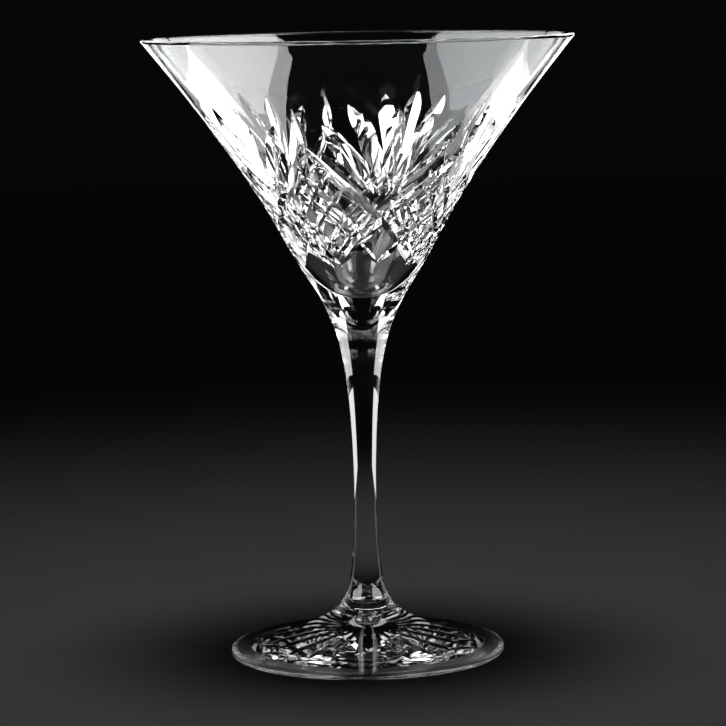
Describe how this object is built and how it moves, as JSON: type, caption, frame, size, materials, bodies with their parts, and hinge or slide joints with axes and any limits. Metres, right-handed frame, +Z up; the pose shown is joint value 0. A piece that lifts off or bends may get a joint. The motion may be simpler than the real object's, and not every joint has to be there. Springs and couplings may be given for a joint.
{
  "type": "martini glass",
  "caption": "Stemmed martini glass in clear cut crystal: wide conical bowl with a solid base, slender drawn stem and shallow round foot.",
  "frame": {"origin": "centre of the foot's standing plane, where the glass's axis meets the surface it stands on", "axes": "+Z up along the glass's axis towards the rim; the glass is round about Z, so X and Y are free"},
  "size_m": [0.123, 0.123, 0.178],
  "materials": {
    "bowl_crystal": "fire polished, with polished wheel cuts",
    "stem_crystal": "fire polished",
    "foot_crystal": "polished, with polished wheel cuts underneath"
  },
  "bodies": {
    "root": {"bowl": "bowl_crystal", "stem": "stem_crystal", "foot": "foot_crystal"}
  },
  "joints": []
}
